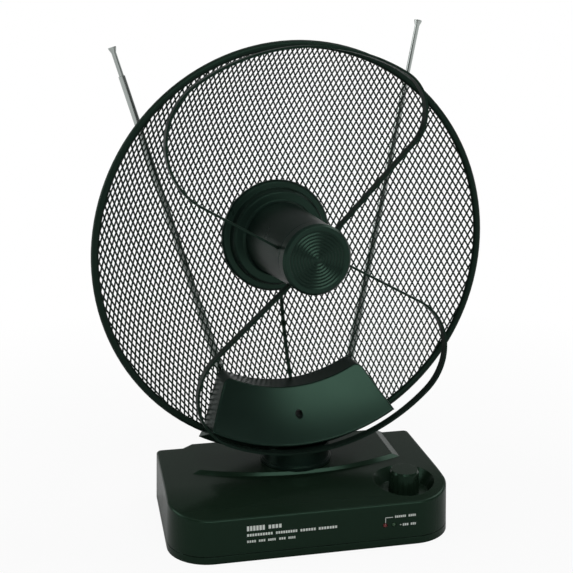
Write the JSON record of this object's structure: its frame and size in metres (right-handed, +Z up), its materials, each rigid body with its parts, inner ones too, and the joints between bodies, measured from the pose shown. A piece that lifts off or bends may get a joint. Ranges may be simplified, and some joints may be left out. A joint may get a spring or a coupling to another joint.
{
  "type": "indoor tv antenna",
  "caption": "Indoor TV antenna: black amplifier base with gain knob, swivelling round mesh reflector with feed nose and strip loops, telescopic rods behind it.",
  "frame": {"origin": "middle of the base's underside, on the table", "axes": "+X to the right seen from the front, +Y to the back, +Z up; the base's front faces -Y"},
  "size_m": [0.2876, 0.1594, 0.3546],
  "materials": {
    "base_plastic": "satin black moulded plastic with a faint sheen",
    "head_plastic": "satin black moulded plastic",
    "knob_plastic": "black fluted plastic",
    "foot_rubber": "black rubber pad",
    "screw_steel": "blackened steel",
    "board": "green laminate",
    "potentiometer_metal": "plain metal can and shaft",
    "lamp_red_plastic": "clear red lens",
    "lamp_green_plastic": "clear green lens",
    "socket_metal": "bright nickel plating",
    "jack_plastic": "black plastic",
    "mesh_paint": "black paint on expanded metal",
    "loop_paint": "black paint on flat strip",
    "cable_rubber": "black cable sheath",
    "knuckle_plastic": "black plastic",
    "rod_chrome": "polished chrome plating"
  },
  "bodies": {
    "base": {"base_housing": "base_plastic", "base_plate": "base_plastic", "rubber_feet": "foot_rubber", "base_screws": "screw_steel", "circuit_board": "board", "potentiometer": "potentiometer_metal", "lamp_red": "lamp_red_plastic", "lamp_green": "lamp_green_plastic", "antenna_socket": "socket_metal", "tv_socket": "socket_metal", "socket_nuts": "socket_metal", "power_jack": "jack_plastic"},
    "knob": {"control_knob": "knob_plastic", "potentiometer_shaft": "potentiometer_metal"},
    "reflector_head": {"neck": "head_plastic", "neck_retainer": "head_plastic", "retainer_screws": "screw_steel", "rear_bracket": "head_plastic", "neck_screws": "screw_steel", "front_cover": "head_plastic", "cover_screw": "screw_steel", "reflector_rim": "mesh_paint", "reflector_mesh": "mesh_paint", "nose_barrel": "head_plastic", "nose_cap": "head_plastic", "nose_clamp": "head_plastic", "nose_screws": "screw_steel", "balun_board": "board", "upper_loop": "loop_paint", "lower_loop": "loop_paint", "feed_cable": "cable_rubber"},
    "left_knuckle_body": {"left_knuckle": "knuckle_plastic", "left_fold_rivet": "rod_chrome"},
    "left_rod_foot_tube_body": {"left_rod_foot_tube": "rod_chrome"},
    "left_rod_second_tube_body": {"left_rod_second_tube": "rod_chrome"},
    "left_rod_third_tube_body": {"left_rod_third_tube": "rod_chrome"},
    "left_rod_fourth_tube_body": {"left_rod_fourth_tube": "rod_chrome"},
    "left_rod_tip_body": {"left_rod_tip": "rod_chrome"},
    "right_knuckle_body": {"right_knuckle": "knuckle_plastic", "right_fold_rivet": "rod_chrome"},
    "right_rod_foot_tube_body": {"right_rod_foot_tube": "rod_chrome"},
    "right_rod_second_tube_body": {"right_rod_second_tube": "rod_chrome"},
    "right_rod_third_tube_body": {"right_rod_third_tube": "rod_chrome"},
    "right_rod_fourth_tube_body": {"right_rod_fourth_tube": "rod_chrome"},
    "right_rod_tip_body": {"right_rod_tip": "rod_chrome"}
  },
  "joints": [
    {"name": "reflector_swivel", "type": "hinge", "parent": "base", "child": "reflector_head", "pos_m": [0, 0.017, 0.04], "axis": [0, 0, 1], "range_deg": [-97.7, 82.3]},
    {"name": "gain_knob_turn", "type": "hinge", "parent": "base", "child": "knob", "pos_m": [0.0695, -0.03, 0.036], "axis": [0, 0, 1], "range_deg": [-150, 150]},
    {"name": "left_rod_turn", "type": "hinge", "parent": "reflector_head", "child": "left_knuckle_body", "pos_m": [-0.04765, 0.0373, 0.0699], "axis": [0.134, -0.991, 0], "range_deg": [-6.9, 64.1]},
    {"name": "left_rod_fold", "type": "hinge", "parent": "left_knuckle_body", "child": "left_rod_foot_tube_body", "pos_m": [-0.0421, 0.04652, 0.07182], "axis": [-0.9531, -0.1289, -0.274], "range_deg": [0, 75]},
    {"name": "left_rod_second_tube_slide", "type": "slide", "parent": "left_rod_foot_tube_body", "child": "left_rod_second_tube_body", "axis": [-0.284, 0.0671, 0.9565], "range_m": [-0.06, 0]},
    {"name": "left_rod_third_tube_slide", "type": "slide", "parent": "left_rod_second_tube_body", "child": "left_rod_third_tube_body", "axis": [-0.284, 0.0671, 0.9565], "range_m": [-0.058, 0]},
    {"name": "left_rod_fourth_tube_slide", "type": "slide", "parent": "left_rod_third_tube_body", "child": "left_rod_fourth_tube_body", "axis": [-0.284, 0.0671, 0.9565], "range_m": [-0.054, 0]},
    {"name": "left_rod_tip_slide", "type": "slide", "parent": "left_rod_fourth_tube_body", "child": "left_rod_tip_body", "axis": [-0.284, 0.0671, 0.9565], "range_m": [-0.014, 0.037]},
    {"name": "right_rod_turn", "type": "hinge", "parent": "reflector_head", "child": "right_knuckle_body", "pos_m": [0.04055, 0.04922, 0.0699], "axis": [0.134, -0.991, 0], "range_deg": [-65.9, 9.1]},
    {"name": "right_rod_fold", "type": "hinge", "parent": "right_knuckle_body", "child": "right_rod_foot_tube_body", "pos_m": [0.04615, 0.05846, 0.0682], "axis": [-0.9611, -0.1299, 0.2436], "range_deg": [0, 75]},
    {"name": "right_rod_second_tube_slide", "type": "slide", "parent": "right_rod_foot_tube_body", "child": "right_rod_second_tube_body", "axis": [0.2261, 0.136, 0.9646], "range_m": [-0.06, 0]},
    {"name": "right_rod_third_tube_slide", "type": "slide", "parent": "right_rod_second_tube_body", "child": "right_rod_third_tube_body", "axis": [0.2261, 0.136, 0.9646], "range_m": [-0.058, 0]},
    {"name": "right_rod_fourth_tube_slide", "type": "slide", "parent": "right_rod_third_tube_body", "child": "right_rod_fourth_tube_body", "axis": [0.2261, 0.136, 0.9646], "range_m": [-0.054, 0]},
    {"name": "right_rod_tip_slide", "type": "slide", "parent": "right_rod_fourth_tube_body", "child": "right_rod_tip_body", "axis": [0.2261, 0.136, 0.9646], "range_m": [-0.034, 0.017]}
  ]
}
